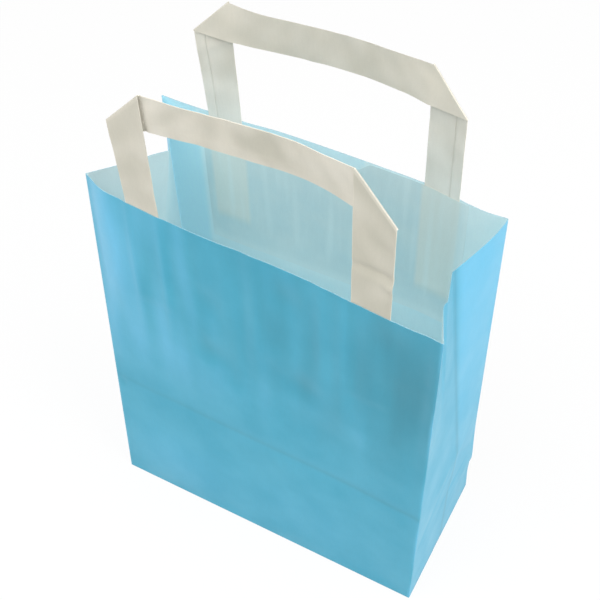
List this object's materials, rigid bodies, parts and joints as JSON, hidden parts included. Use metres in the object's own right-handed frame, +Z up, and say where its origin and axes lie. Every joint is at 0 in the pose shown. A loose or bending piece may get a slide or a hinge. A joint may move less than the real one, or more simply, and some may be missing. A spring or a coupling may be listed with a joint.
{
  "type": "paper carrier bag",
  "caption": "Block-bottomed paper carrier bag standing open, with creased side gussets and flat paper tape handles folded at their top corners.",
  "frame": {"origin": "centre of the flat underside, where the bag rests", "axes": "+Z up; X along the wide panels; -Y out of the front panel; the side gussets face -X and +X"},
  "size_m": [0.1828, 0.0889, 0.2856],
  "materials": {
    "blue_paper": "matt, printed outside and pale inside",
    "tape_paper": "matt, uncoated",
    "patch_paper": "matt, uncoated"
  },
  "bodies": {
    "root": {"paper_bag": "blue_paper", "front_handle": "tape_paper", "back_handle": "tape_paper", "front_handle_patch": "patch_paper", "back_handle_patch": "patch_paper"}
  },
  "joints": []
}
